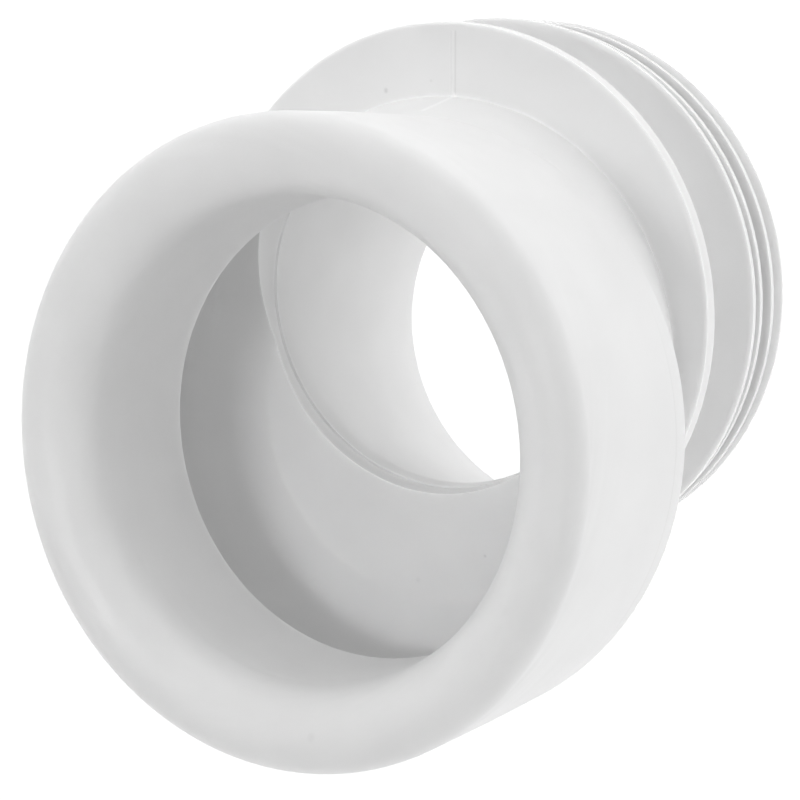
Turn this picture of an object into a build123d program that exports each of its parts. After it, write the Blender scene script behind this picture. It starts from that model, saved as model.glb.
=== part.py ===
"""Offset toilet pan connector, moulded in one piece of soft white plastic.

It stands on the end of its spigot with the bell mouth up. The fins share an upright axis; the bell's axis is set
back from it along Y by the offset that gives the connector its use, and leans a little towards it. The origin is
on the floor, in the middle of the overall width and depth.
"""
import os
from math import cos, radians, sin

from build123d import *

# Bell that takes the pan's outlet; its heights are along its own axis, from the rear edge
offset = 21.0            # from the fins' axis to the bell's axis, at the rear edge
bell_lean = 3.3          # degrees that the mouth leans towards the fins' side
bell_radius = 61.2       # outside of the wall at the rear edge
bell_draft = 1.2         # how much wider the wall is at the rim
bell_wall = 5.7          # thickness of the wall at the rear edge
bell_height = 43.0       # from the rear edge to the middle of the rim
rear_round = 2.2         # rounding of the rear edge
rim_width = 13.4
rim_rise = 7.2           # from the middle of the rim to its crest

# Soft sealing lip hanging inside the mouth
lip_reach = 3.0          # how far the lip closes in from the rim
lip_depth = 28.6         # from the middle of the rim down to the lip's free edge
lip_land = 2.0           # short straight land at that edge
lip_edge = 0.5           # thickness left at the edge
lip_root = 3.0           # thickness where it leaves the rim
lip_slot = 20.0          # depth of the slot behind the lip

# Hollow behind and below the lip, upright about the bell's centre
hollow_drop = 3.0        # straight wall below the lip's edge
floor_inset = 16.6       # from the wall in to the crease around the flat floor
floor_drop = 8.6         # flat floor, below the bell's rear edge

# Neck between the bell and the flange
neck_length = 15.6       # along the fins' axis
neck_inset = 0.5         # step in from the bell's wall, on the fins' side
neck_shift = 0.5         # the neck's start, moved from the bell's centre towards the fins' side
neck_flare = 8.5         # the neck's end stands this much proud of the tube
neck_offset = -6.5       # centre of the neck's end, from the fins' axis

# Flange and fins that seal in the soil pipe
fin_radius = 57.2
front_extra = 1.0        # the foremost fin is a little larger
flange_extra = 0.8       # and so is the flange
flange_thick = 3.3
fin_drop = 23.0          # from the flange's face to the foremost fin
fin_pitch = 6.1
fin_tips = [1.2, 1.2, 1.2, 0.5]
fin_root = 2.2           # thickness at the tube

# Spigot tube and waterway
spigot_length = 57.0     # from the flange's face to the spigot's end
tube_wall = 3.4
bore_radius = 38.1       # waterway below the hollow's floor
bore_straight = 5.4      # length below that floor that runs straight
bore_widening = 2.5      # the waterway's end is this much larger
throat_lean = -4.0       # degrees that the straight waterway leans, against the bell
throat_offset = 0.7      # its centre at the floor, from the fins' axis
end_offset = -12.9       # centre of the spigot's end, from the fins' axis
throat_rise = 14.0       # how far the opening runs up the hollow's wall, above the floor
throat_flare = 0.3       # opening in the hollow's floor, larger than the waterway
throat_land = 1.0        # depth of the tapered land inside that opening
groove_depth = 0.8       # groove behind the land
groove_width = 1.0

# Heights above the floor
flange_top = spigot_length
rear_edge = flange_top + neck_length
floor_level = rear_edge - floor_drop

# Radii and heights of the bell and its hollow, from the rear edge
rim_radius = bell_radius + bell_draft
funnel_radius = rim_radius - rim_width
lip_radius = funnel_radius - lip_reach
lip_height = bell_height - lip_depth
slot_top = lip_height + lip_slot
hollow_radius = bell_radius - bell_wall
bowl_top = lip_height - hollow_drop
floor_radius = hollow_radius - floor_inset

# Places of the two axes along Y, with the overall depth centred on the origin
lean = radians(bell_lean)
rear_reach = (bell_radius - rear_round) * cos(lean) - rear_round * sin(lean) + rear_round
rim_reach = rim_radius * cos(lean) - bell_height * sin(lean)
fin_reach = fin_radius + max(front_extra, flange_extra)
fin_centre = (offset + max(rear_reach, rim_reach) - fin_reach) / 2


def level(height, shift=0.0):
    """Horizontal plane at a height, its origin moved along Y from the fins' axis."""
    return Plane((0, fin_centre + shift, height))


def leaning(origin, degrees):
    """Plane across an axis that leans from the upright towards +Y."""
    return Plane(origin, x_dir=(1, 0, 0), z_dir=(0, sin(radians(degrees)), cos(radians(degrees))))


def section(across):
    """Plane through the same origin that holds the axis, to draw a half profile on."""
    return Plane(across.origin, x_dir=across.x_dir, z_dir=-across.y_dir)


def axis(across):
    """Axis through a plane's origin and square to it."""
    return Axis(across.origin, across.z_dir)


fins = level(flange_top)
bell = leaning((0, fin_centre - offset, rear_edge), bell_lean)
hollow = level(rear_edge, -offset)
throat = leaning((0, fin_centre + throat_offset, floor_level), throat_lean)
fall = throat.offset(-bore_straight)

with BuildPart() as pan_connector:
    # Bell as a solid plug with its rolled rim
    with BuildSketch(section(bell)):
        with BuildLine():
            Line((0, 0), (bell_radius - rear_round, 0))
            RadiusArc((bell_radius - rear_round, 0), (bell_radius, rear_round), -rear_round)
            Line((bell_radius, rear_round), (rim_radius, bell_height))
            EllipticalCenterArc((rim_radius - rim_width / 2, bell_height), rim_width / 2, rim_rise, 0, arc_size=180)
            Line((funnel_radius, bell_height), (0, bell_height))
            Line((0, bell_height), (0, 0))
        make_face()
    revolve(axis=axis(bell))

    # Neck that carries the offset, from inside the bell's rear edge to the flange
    with BuildSketch(bell.offset(rear_round)):
        with Locations((0, neck_shift)):
            Circle(bell_radius - neck_shift - neck_inset)
    with BuildSketch(level(flange_top - flange_thick / 2, neck_offset)):
        Circle(bore_radius + tube_wall + neck_flare)
    loft()

    # Spigot tube, falling from the flange to its end
    with BuildSketch(level(flange_top, throat_offset)):
        Circle(bore_radius + tube_wall)
    with BuildSketch(level(0, end_offset)):
        Circle(bore_radius + bore_widening + tube_wall)
    loft()

    # Flange, then the thinner fins, each tapering to its tip
    with BuildSketch(level(flange_top - flange_thick)):
        Circle(fin_radius + flange_extra)
    extrude(amount=flange_thick)
    for index, tip in enumerate(fin_tips):
        radius = fin_radius + (front_extra if index == 0 else 0)
        fin_top = -fin_drop - index * fin_pitch
        with BuildSketch(section(fins)):
            Polygon((0, fin_top), (radius, fin_top), (radius, fin_top - tip), (0, fin_top - fin_root), align=None)
        revolve(axis=axis(fins))

    # Hollow of the bell, from its flat floor up to the top of the slot
    with BuildSketch(section(hollow)):
        with BuildLine():
            drop = bowl_top + floor_drop
            Polyline((0, slot_top), (hollow_radius, slot_top), (hollow_radius, bowl_top))
            Bezier(
                (hollow_radius, bowl_top),
                (hollow_radius, bowl_top - 0.45 * drop),
                (floor_radius + 0.5 * floor_inset, 0.22 * drop - floor_drop),
                (floor_radius, -floor_drop),
            )
            Polyline((floor_radius, -floor_drop), (0, -floor_drop), (0, slot_top))
        make_face()
    revolve(axis=axis(hollow), mode=Mode.SUBTRACT)

    # Mouth, open from the middle of the rim down into the hollow
    with BuildSketch(bell.offset(bell_height)):
        Circle(funnel_radius)
    extrude(amount=-lip_depth, mode=Mode.SUBTRACT)

    # Sealing lip, running on from the rim and thinning to its free edge
    with BuildSketch(section(bell)):
        with BuildLine():
            Bezier(
                (funnel_radius, bell_height),
                (funnel_radius, bell_height - lip_depth / 2),
                (lip_radius, lip_height + lip_land),
            )
            Polyline(
                (lip_radius, lip_height + lip_land),
                (lip_radius, lip_height),
                (lip_radius + lip_edge, lip_height),
                (funnel_radius + lip_root, bell_height),
                (funnel_radius, bell_height),
            )
        make_face()
    revolve(axis=axis(bell))

    # Waterway: opening through the hollow's floor, tapered land, groove and straight run
    with BuildSketch(section(throat)):
        throat_radius = bore_radius + throat_flare
        groove_radius = bore_radius + groove_depth
        Polygon(
            (0, throat_rise),
            (throat_radius, throat_rise),
            (throat_radius, 0),
            (bore_radius, -throat_land),
            (groove_radius, -throat_land - groove_width / 4),
            (groove_radius, -throat_land - groove_width * 3 / 4),
            (bore_radius, -throat_land - groove_width),
            (bore_radius, -bore_straight),
            (0, -bore_straight),
            align=None,
        )
    revolve(axis=axis(throat), mode=Mode.SUBTRACT)

    # Waterway falling to the spigot's end
    with BuildSketch(fall):
        Circle(bore_radius)
    with BuildSketch(level(0, end_offset)):
        Circle(bore_radius + bore_widening)
    loft(mode=Mode.SUBTRACT)

pan_connector.part.label = "pan_connector"

os.makedirs("parts", exist_ok=True)
export_step(pan_connector.part, "parts/pan_connector.step")
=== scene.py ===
from math import atan2, cos, pi, radians, sin

import bpy
from mathutils import Matrix, Vector


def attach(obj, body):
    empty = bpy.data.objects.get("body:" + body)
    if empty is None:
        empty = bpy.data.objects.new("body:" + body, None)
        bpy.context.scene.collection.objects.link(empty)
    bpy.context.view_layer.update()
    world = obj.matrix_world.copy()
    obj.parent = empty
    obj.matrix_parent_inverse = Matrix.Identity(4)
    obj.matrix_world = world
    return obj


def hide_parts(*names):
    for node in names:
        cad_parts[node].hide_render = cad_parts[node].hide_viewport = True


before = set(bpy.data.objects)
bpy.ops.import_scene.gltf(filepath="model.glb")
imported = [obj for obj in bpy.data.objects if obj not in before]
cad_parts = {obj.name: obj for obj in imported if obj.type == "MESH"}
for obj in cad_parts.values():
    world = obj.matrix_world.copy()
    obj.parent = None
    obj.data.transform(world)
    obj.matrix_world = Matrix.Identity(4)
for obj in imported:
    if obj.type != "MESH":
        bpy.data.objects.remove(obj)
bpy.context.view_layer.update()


# Connector
# One moulding of soft white plastic with a satin skin, pushed over the pan's outlet and into the soil pipe.
# It copies the solid and draws its rim out to the trumpet flare and tight outer corner of the photo.
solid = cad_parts["pan_connector"]
connector = bpy.data.objects.new("connector", solid.data.copy())
bpy.context.collection.objects.link(connector)

bpy.ops.object.select_all(action="DESELECT")
connector.select_set(True)
bpy.context.view_layer.objects.active = connector
bpy.ops.mesh.customdata_custom_splitnormals_clear()
bpy.ops.object.mode_set(mode="EDIT")
bpy.ops.mesh.select_all(action="SELECT")
bpy.ops.mesh.remove_doubles(threshold=1e-6)
bpy.ops.object.mode_set(mode="OBJECT")

bell_lean = radians(3.3)
bell_axis = Vector((0, sin(bell_lean), cos(bell_lean)))
bell_centre = Vector((0, -0.009112, 0.0726))   # middle of the bell's rear edge; levels are from here

rim_level = 0.043           # where the solid's rim begins to turn
rim_middle = 0.0557
rim_half_width = 0.0067
rim_rise = 0.0072
land_level = 0.0164         # top of the straight land at the lip's edge
lip_radius = 0.046
lip_clear = 0.0004          # the lip's hidden back is further than this from its front
wall_level = 0.025          # below this the wall stays as it is
wall_radius = 0.06          # and inside this a point isn't on the wall

crest_radius = 0.0565       # the rim as the photo shows it
crest_level = 0.0489
corner_width = 0.0056       # from the crest out to the wall
corner_drop = 0.004
flare_width = 0.010         # and from the crest in to the funnel
flare_depth = 0.010


def between(start, end, share):
    """The value that lies at a share of the way from start to end."""
    return start + (end - start) * share


def funnel_radius(level):
    """Radius of the solid's funnel, a curve that leaves the rim upright and closes in to the lip."""
    share = (rim_level - level) / (rim_level - land_level)
    return between(rim_middle - rim_half_width, lip_radius, share * share)


def flared(radius, level):
    """Where a point of the solid's rim, funnel or upper wall goes on the flare, by radius and level."""
    if level > rim_level - 1e-5:
        turn = atan2(max(level - rim_level, 0) / rim_rise, (radius - rim_middle) / rim_half_width)
        width, depth = (corner_width, corner_drop) if turn < pi / 2 else (flare_width, flare_depth)
        return crest_radius + width * cos(turn), crest_level - depth * (1 - sin(turn))
    if level > land_level and radius < funnel_radius(level) + lip_clear:
        share = (rim_level - level) / (rim_level - land_level)
        return (between(crest_radius - flare_width, lip_radius, share),
                between(crest_level - flare_depth, land_level, share))
    if level > wall_level and radius > wall_radius:
        share = (level - wall_level) / (rim_level - wall_level)
        narrowing = rim_middle + rim_half_width - crest_radius - corner_width
        return radius - share * narrowing, between(wall_level, crest_level - corner_drop, share)
    return radius, level


for vertex in connector.data.vertices:
    place = vertex.co - bell_centre
    level = place.dot(bell_axis)
    outward = place - bell_axis * level
    new_radius, new_level = flared(outward.length, level)
    vertex.co = bell_centre + bell_axis * new_level + outward.normalized() * new_radius
bpy.ops.object.shade_smooth_by_angle(angle=radians(32))

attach(connector, "root")
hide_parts("pan_connector")


def node(tree, kind, sockets, **settings):
    """Add a shader node, choose its settings, and give each socket a value or a link."""
    made = tree.nodes.new("ShaderNode" + kind)
    for name, choice in settings.items():
        setattr(made, name, choice)
    for socket, value in sockets.items():
        if isinstance(value, bpy.types.NodeSocket):
            tree.links.new(value, made.inputs[socket])
        else:
            made.inputs[socket].default_value = value
    return made


# A thin line from one point to another, or a speck where the two are the same
mark = bpy.data.node_groups.new("thin_line_mask", "ShaderNodeTree")
for name, kind in (("Place", "Vector"), ("Start", "Vector"), ("End", "Vector"), ("Width", "Float")):
    mark.interface.new_socket(name, in_out="INPUT", socket_type="NodeSocket" + kind)
mark.interface.new_socket("Mask", in_out="OUTPUT", socket_type="NodeSocketFloat")
given = mark.nodes.new("NodeGroupInput").outputs
run = node(mark, "VectorMath", {0: given["End"], 1: given["Start"]}, operation="SUBTRACT").outputs["Vector"]
away = node(mark, "VectorMath", {0: given["Place"], 1: given["Start"]},
            operation="SUBTRACT").outputs["Vector"]
along = node(mark, "VectorMath", {0: away, 1: run}, operation="DOT_PRODUCT").outputs["Value"]
whole = node(mark, "VectorMath", {0: run, 1: run}, operation="DOT_PRODUCT").outputs["Value"]
share = node(mark, "Math", {0: along, 1: whole}, operation="DIVIDE", use_clamp=True).outputs["Value"]
nearest = node(mark, "VectorMath", {0: run, "Scale": share}, operation="SCALE").outputs["Vector"]
gap = node(mark, "VectorMath", {0: away, 1: nearest}, operation="DISTANCE").outputs["Value"]
fade = node(mark, "MapRange", {"Value": gap, "From Max": given["Width"], "To Min": 1.0, "To Max": 0.0},
            interpolation_type="SMOOTHSTEP")
mark.links.new(fade.outputs["Result"], mark.nodes.new("NodeGroupOutput").inputs["Mask"])

plastic = bpy.data.materials.new("white_plastic")
plastic.use_nodes = True
tree = plastic.node_tree
shader = tree.nodes["Principled BSDF"]
shader.subsurface_method = "BURLEY"
shader.inputs["Subsurface Weight"].default_value = 1.0
shader.inputs["Subsurface Radius"].default_value = (1.0, 1.0, 1.0)
shader.inputs["Subsurface Scale"].default_value = 0.001
point = node(tree, "TexCoord", {}).outputs["Object"]

# Level and radius from the bell's axis, which the flow marks and the parting ring follow
from_bell = node(tree, "VectorMath", {0: point, 1: bell_centre}, operation="SUBTRACT").outputs["Vector"]
bell_level = node(tree, "VectorMath", {0: from_bell, 1: bell_axis}, operation="DOT_PRODUCT").outputs["Value"]
up_axis = node(tree, "VectorMath", {0: bell_axis, "Scale": bell_level}, operation="SCALE").outputs["Vector"]
outwards = node(tree, "VectorMath", {0: from_bell, 1: up_axis}, operation="SUBTRACT").outputs["Vector"]
bell_radius = node(tree, "VectorMath", {0: outwards}, operation="LENGTH").outputs["Value"]
bearing = node(tree, "VectorMath", {0: outwards}, operation="NORMALIZE").outputs["Vector"]

# Flow marks that run round the bell, cloudiness in the plastic, and the fine grain of the mould
flow_across = 130.0         # how close the flow marks lie, per metre
flow_round = 2.2            # and how often they break off on the way round
flow_start = 0.024          # level where they begin to show, and where they are at their highest
flow_full = 0.044
flow_height = 0.0005
cloud_scale = 55.0
grain_scale = 2200.0
grain_height = 0.000006
flow_rings = node(tree, "CombineXYZ", {"X": bell_radius, "Y": bell_level}).outputs["Vector"]
flow_close = node(tree, "VectorMath", {0: flow_rings, "Scale": flow_across},
                  operation="SCALE").outputs["Vector"]
flow_long = node(tree, "VectorMath", {0: bearing, 1: (flow_round,) * 3, 2: flow_close},
                 operation="MULTIPLY_ADD").outputs["Vector"]
flow = node(tree, "TexNoise", {"Vector": flow_long, "Scale": 1.0, "Detail": 2.0}).outputs["Fac"]
wave_height = node(tree, "MapRange", {"Value": bell_level, "From Min": flow_start, "From Max": flow_full,
                                      "To Max": flow_height}).outputs["Result"]
cloud = node(tree, "TexNoise", {"Vector": point, "Scale": cloud_scale, "Detail": 2.0}).outputs["Fac"]
grain = node(tree, "TexNoise", {"Vector": point, "Scale": grain_scale, "Detail": 0.0}).outputs["Fac"]

# Parting ring round the outside of the bell, near its rear edge, which fades out towards the fins' side
ring_level = 0.0062
ring_width = 0.0005
ring_inside = 0.0585        # the ring shows only outside this radius
ring_end = 0.025            # and is gone at this Y
ring_darker = 0.05
ring_proud = -0.00004
from_ring = node(tree, "Math", {0: bell_level, 1: ring_level}, operation="SUBTRACT").outputs["Value"]
ring_gap = node(tree, "Math", {0: from_ring}, operation="ABSOLUTE").outputs["Value"]
ring_line = node(tree, "MapRange", {"Value": ring_gap, "From Max": ring_width, "To Min": 1.0, "To Max": 0.0},
                 interpolation_type="SMOOTHSTEP").outputs["Result"]
outside = node(tree, "Math", {0: bell_radius, 1: ring_inside}, operation="GREATER_THAN").outputs["Value"]
across = node(tree, "SeparateXYZ", {"Vector": point}).outputs["Y"]
lower = node(tree, "MapRange", {"Value": across, "From Min": 0.0, "From Max": ring_end,
                                "To Min": 1.0, "To Max": 0.0}).outputs["Result"]
ring_part = node(tree, "Math", {0: outside, 1: lower}, operation="MULTIPLY").outputs["Value"]
ring = node(tree, "Math", {0: ring_line, 1: ring_part}, operation="MULTIPLY").outputs["Value"]

# Marks: start, end, width, how much darker, and how far proud. The specks are the plastic's own; the seam and
# the flash line carry painted highlight and painted shade along their real ridges
marks = [
    # The seam's lighter lines on its ridges are painted highlight, and its darker lines beside them are
    # painted shade.
    ((0.0005, 0.0680, 0.0570), (0.0006, 0.0554, 0.0570), 0.00025, -0.02, 0.00003),   # seam across the flange
    ((0.0009, 0.0680, 0.0570), (0.0010, 0.0554, 0.0570), 0.00025, 0.03, 0.0),
    ((0.0014, 0.0680, 0.0570), (0.0014, 0.0554, 0.0570), 0.00025, -0.03, 0.00003),
    ((0.0019, 0.0680, 0.0570), (0.0019, 0.0554, 0.0570), 0.00035, 0.10, 0.0),
    # The flash line is painted lighter along its raised ridge: a painted highlight.
    ((0.0015, 0.0552, 0.0570), (-0.0001, 0.0528, 0.0664), 0.00090, -0.10, 0.00008),  # flash line on the neck
    ((-0.0143, 0.0556, 0.0570), (-0.0143, 0.0558, 0.0570), 0.00070, 0.16, 0.0),      # specks
    ((-0.0037, 0.0580, 0.0570), (-0.0037, 0.0580, 0.0570), 0.00050, 0.08, 0.0),
    ((0.0131, -0.0376, 0.0640), (0.0131, -0.0376, 0.0640), 0.00050, 0.16, 0.0),
    ((-0.0026, -0.0447, 0.0640), (-0.0026, -0.0447, 0.0640), 0.00090, 0.05, 0.0),
    ((0.0087, -0.0599, 0.1235), (0.0087, -0.0603, 0.1235), 0.00140, 0.10, 0.0),
]
# Darkening from the parting ring and the specks, plus painted highlight and painted shade from the seam and
# the flash line
stain_and_painted_light = node(tree, "Math", {0: ring, 1: ring_darker}, operation="MULTIPLY").outputs["Value"]
relief = node(tree, "Math", {0: ring, 1: ring_proud}, operation="MULTIPLY").outputs["Value"]
for start, end, width, darker, proud in marks:
    masked = tree.nodes.new("ShaderNodeGroup")
    masked.node_tree = mark
    masked.inputs["Start"].default_value = start
    masked.inputs["End"].default_value = end
    masked.inputs["Width"].default_value = width
    tree.links.new(point, masked.inputs["Place"])
    mask = masked.outputs["Mask"]
    stain_and_painted_light = node(tree, "Math", {0: mask, 1: darker, 2: stain_and_painted_light}, operation="MULTIPLY_ADD").outputs["Value"]
    if proud:
        relief = node(tree, "Math", {0: mask, 1: proud, 2: relief},
                      operation="MULTIPLY_ADD").outputs["Value"]

# Colour: cloudy white, darkened by the specks and the parting ring, with painted highlight and painted shade
# along the seam and the flash line
white = node(tree, "MapRange", {"Value": cloud, "From Min": 0.3, "From Max": 0.7,
                                "To Min": 0.885, "To Max": 0.915}).outputs["Result"]
kept = node(tree, "Math", {0: 1.0, 1: stain_and_painted_light}, operation="SUBTRACT").outputs["Value"]
tone = node(tree, "Math", {0: white, 1: kept}, operation="MULTIPLY").outputs["Value"]
colour = node(tree, "CombineColor", {"Red": tone, "Green": tone, "Blue": tone}).outputs["Color"]
tree.links.new(colour, shader.inputs["Base Color"])

# Gloss: satin, smoother along the flow marks
satin = node(tree, "MapRange", {"Value": flow, "From Min": 0.25, "From Max": 0.75,
                                "To Min": 0.36, "To Max": 0.48}).outputs["Result"]
tree.links.new(satin, shader.inputs["Roughness"])

# Height of the skin in metres
waves = node(tree, "Math", {0: flow, 1: wave_height, 2: relief}, operation="MULTIPLY_ADD").outputs["Value"]
skin = node(tree, "Math", {0: grain, 1: grain_height, 2: waves}, operation="MULTIPLY_ADD").outputs["Value"]
bump = node(tree, "Bump", {"Height": skin, "Distance": 1.0, "Strength": 1.0}).outputs["Normal"]
tree.links.new(bump, shader.inputs["Normal"])
connector.data.materials.clear()
connector.data.materials.append(plastic)


# Floor
# Plain white sheet that the connector stands on. It glows, as a light table does, so the shadow is very faint.
bpy.ops.mesh.primitive_plane_add(size=8)
floor = bpy.context.object
floor.name = "floor"
paper = bpy.data.materials.new("floor_paper")
paper.use_nodes = True
paper_shader = paper.node_tree.nodes["Principled BSDF"]
paper_shader.inputs["Base Color"].default_value = (0.25, 0.25, 0.25, 1)
paper_shader.inputs["Roughness"].default_value = 0.9
paper_shader.inputs["Emission Color"].default_value = (1, 1, 1, 1)
paper_shader.inputs["Emission Strength"].default_value = 0.93
floor.data.materials.append(paper)


# Light
# White tent whose walls are brighter than its top. Two wide soft lamps stand on the fins' side and the left,
# and two narrower ones point at the flange and, from above, into the mouth.
world = bpy.data.worlds.new("surround")
bpy.context.scene.world = world
world.use_nodes = True
tent = world.node_tree
direction = node(tent, "TexCoord", {}).outputs["Generated"]
steepness = node(tent, "SeparateXYZ", {"Vector": direction}).outputs["Z"]
glow = node(tent, "MapRange", {"Value": steepness, "To Min": 0.8, "To Max": 0.41}).outputs["Result"]
tent.links.new(glow, tent.nodes["Background"].inputs["Strength"])
tent.nodes["Background"].inputs["Color"].default_value = (1, 1, 1, 1)


def lamp(name, kind, energy, position, target, **settings):
    """Add a lamp that points at a target."""
    light = bpy.data.lights.new(name, kind)
    light.energy = energy
    for setting, value in settings.items():
        setattr(light, setting, value)
    holder = bpy.data.objects.new(name, light)
    bpy.context.collection.objects.link(holder)
    holder.location = position
    holder.rotation_euler = (Vector(target) - Vector(position)).to_track_quat("-Z", "Y").to_euler()


lamp("top_lamp", "AREA", 0.3, (-0.05, 0.5, 0.2), (0, 0, 0.07), shape="RECTANGLE", size=0.6, size_y=0.25)
lamp("left_lamp", "AREA", 0.04, (-0.5, -0.15, 0.35), (0, 0, 0.1), shape="RECTANGLE", size=0.5, size_y=0.4)
lamp("flange_lamp", "SPOT", 0.9, (-0.05, 0.45, 0.35), (-0.01, 0.062, 0.057),
     spot_size=0.28, spot_blend=1.0, shadow_soft_size=0.05)
lamp("mouth_lamp", "SPOT", 5.8, (-0.06, 0.07, 0.645), (0, -0.01, 0.1),
     spot_size=0.32, spot_blend=1.0, shadow_soft_size=0.085)


# Camera
# Looks down into the mouth, rolled as the photo is.
lens = bpy.data.cameras.new("camera")
lens.lens = 112.5
lens.sensor_width = 36
camera = bpy.data.objects.new("camera", lens)
bpy.context.collection.objects.link(camera)
right = Vector((0.8661, 0, -0.4997))
up = Vector((-0.0909, 0.9833, -0.1576))
back = Vector((0.4914, 0.1819, 0.8517))
turned = Matrix((right, up, back)).transposed().to_4x4()
camera.matrix_world = Matrix.Translation((0.2460, 0.08659, 0.5024)) @ turned
bpy.context.scene.camera = camera
bpy.context.scene.view_settings.view_transform = "Standard"
